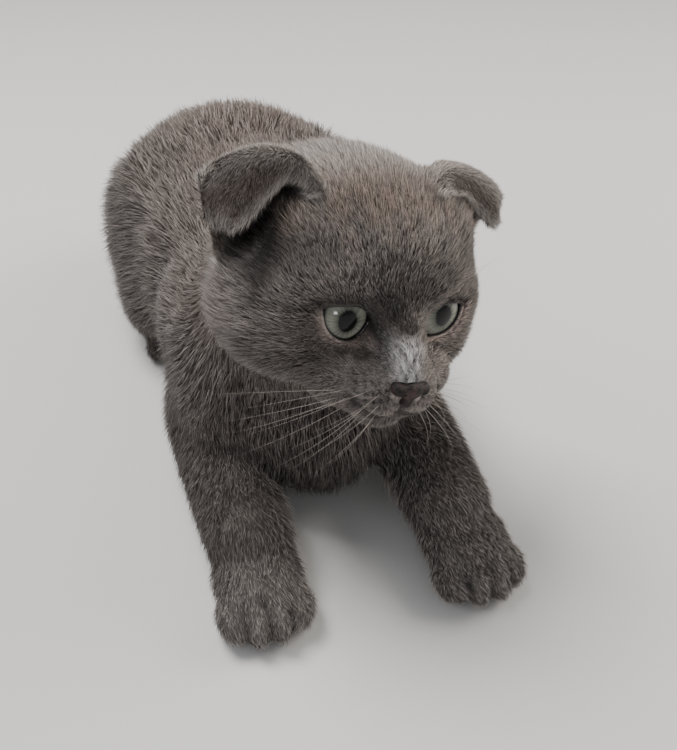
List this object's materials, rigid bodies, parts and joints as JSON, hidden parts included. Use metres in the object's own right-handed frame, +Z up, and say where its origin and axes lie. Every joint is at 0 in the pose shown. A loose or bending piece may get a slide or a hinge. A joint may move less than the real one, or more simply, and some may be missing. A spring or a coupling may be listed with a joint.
{
  "type": "scottish fold kitten",
  "caption": "Folded-ear blue grey kitten lying on its belly, forepaws out in front, head raised and turned to its left, tail curled round its left side.",
  "frame": {"origin": "on the floor under the belly, between the ribs", "axes": "+Z up, +Y towards the rump, so the kitten faces -Y and its left side is +X"},
  "size_m": [0.1191, 0.2302, 0.1171],
  "materials": {
    "head": "short dense blue grey coat",
    "neck": "short dense blue grey coat",
    "torso": "short dense blue grey coat",
    "tail": "short dense blue grey coat",
    "nose": "bare, damp skin",
    "eye_left": "wet, clear over a greenish grey iris",
    "eye_right": "wet, clear over a greenish grey iris",
    "ear_left": "short dense blue grey coat",
    "ear_right": "short dense blue grey coat",
    "foreleg_left": "short dense blue grey coat",
    "foreleg_right": "short dense blue grey coat",
    "forepaw_left": "short dense blue grey coat",
    "forepaw_right": "short dense blue grey coat",
    "hind_leg_left": "short dense blue grey coat",
    "hind_leg_right": "short dense blue grey coat",
    "hind_paw_left": "short dense blue grey coat",
    "hind_paw_right": "short dense blue grey coat"
  },
  "bodies": {
    "root": {"head": "head", "neck": "neck", "torso": "torso", "tail": "tail", "nose": "nose", "eye_left": "eye_left", "eye_right": "eye_right", "ear_left": "ear_left", "ear_right": "ear_right", "foreleg_left": "foreleg_left", "foreleg_right": "foreleg_right", "forepaw_left": "forepaw_left", "forepaw_right": "forepaw_right", "hind_leg_left": "hind_leg_left", "hind_leg_right": "hind_leg_right", "hind_paw_left": "hind_paw_left", "hind_paw_right": "hind_paw_right"}
  },
  "joints": []
}
